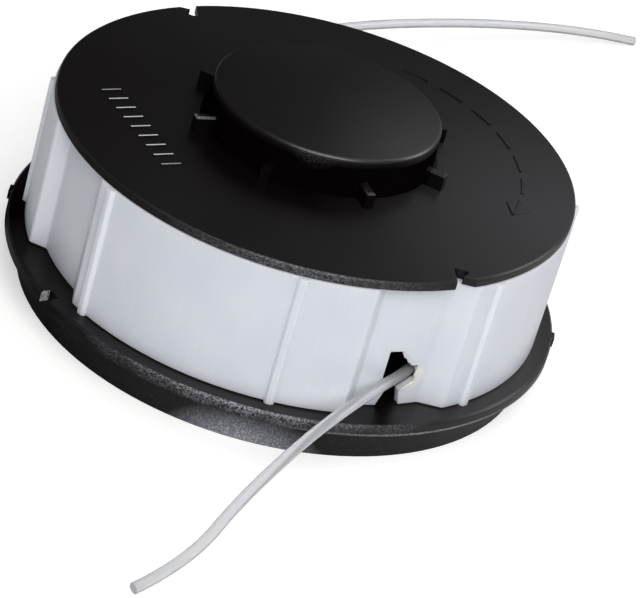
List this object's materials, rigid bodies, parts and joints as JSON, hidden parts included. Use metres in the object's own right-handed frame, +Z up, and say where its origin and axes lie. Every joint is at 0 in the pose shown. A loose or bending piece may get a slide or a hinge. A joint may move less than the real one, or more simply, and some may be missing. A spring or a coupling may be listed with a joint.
{
  "type": "trimmer line spool",
  "caption": "Wound line spool for a bump-feed string trimmer: a flanged reel with a lugged knob, a pocketed retaining band round the winding, and free line ends through keyholes.",
  "frame": {"origin": "centre of the reel, on the surface that the skirt stands on", "axes": "+Z up the spool's axis towards the knob, -Y towards the front line end"},
  "size_m": [0.0947, 0.2166, 0.037],
  "materials": {
    "reel_nylon": "spark-eroded black moulding",
    "band_polyethylene": "natural milky polyethylene, satin",
    "line_nylon": "translucent extruded monofilament"
  },
  "bodies": {
    "root": {"reel": "reel_nylon", "band": "band_polyethylene", "winding": "line_nylon", "line_end_front": "line_nylon", "line_end_back": "line_nylon"}
  },
  "joints": []
}
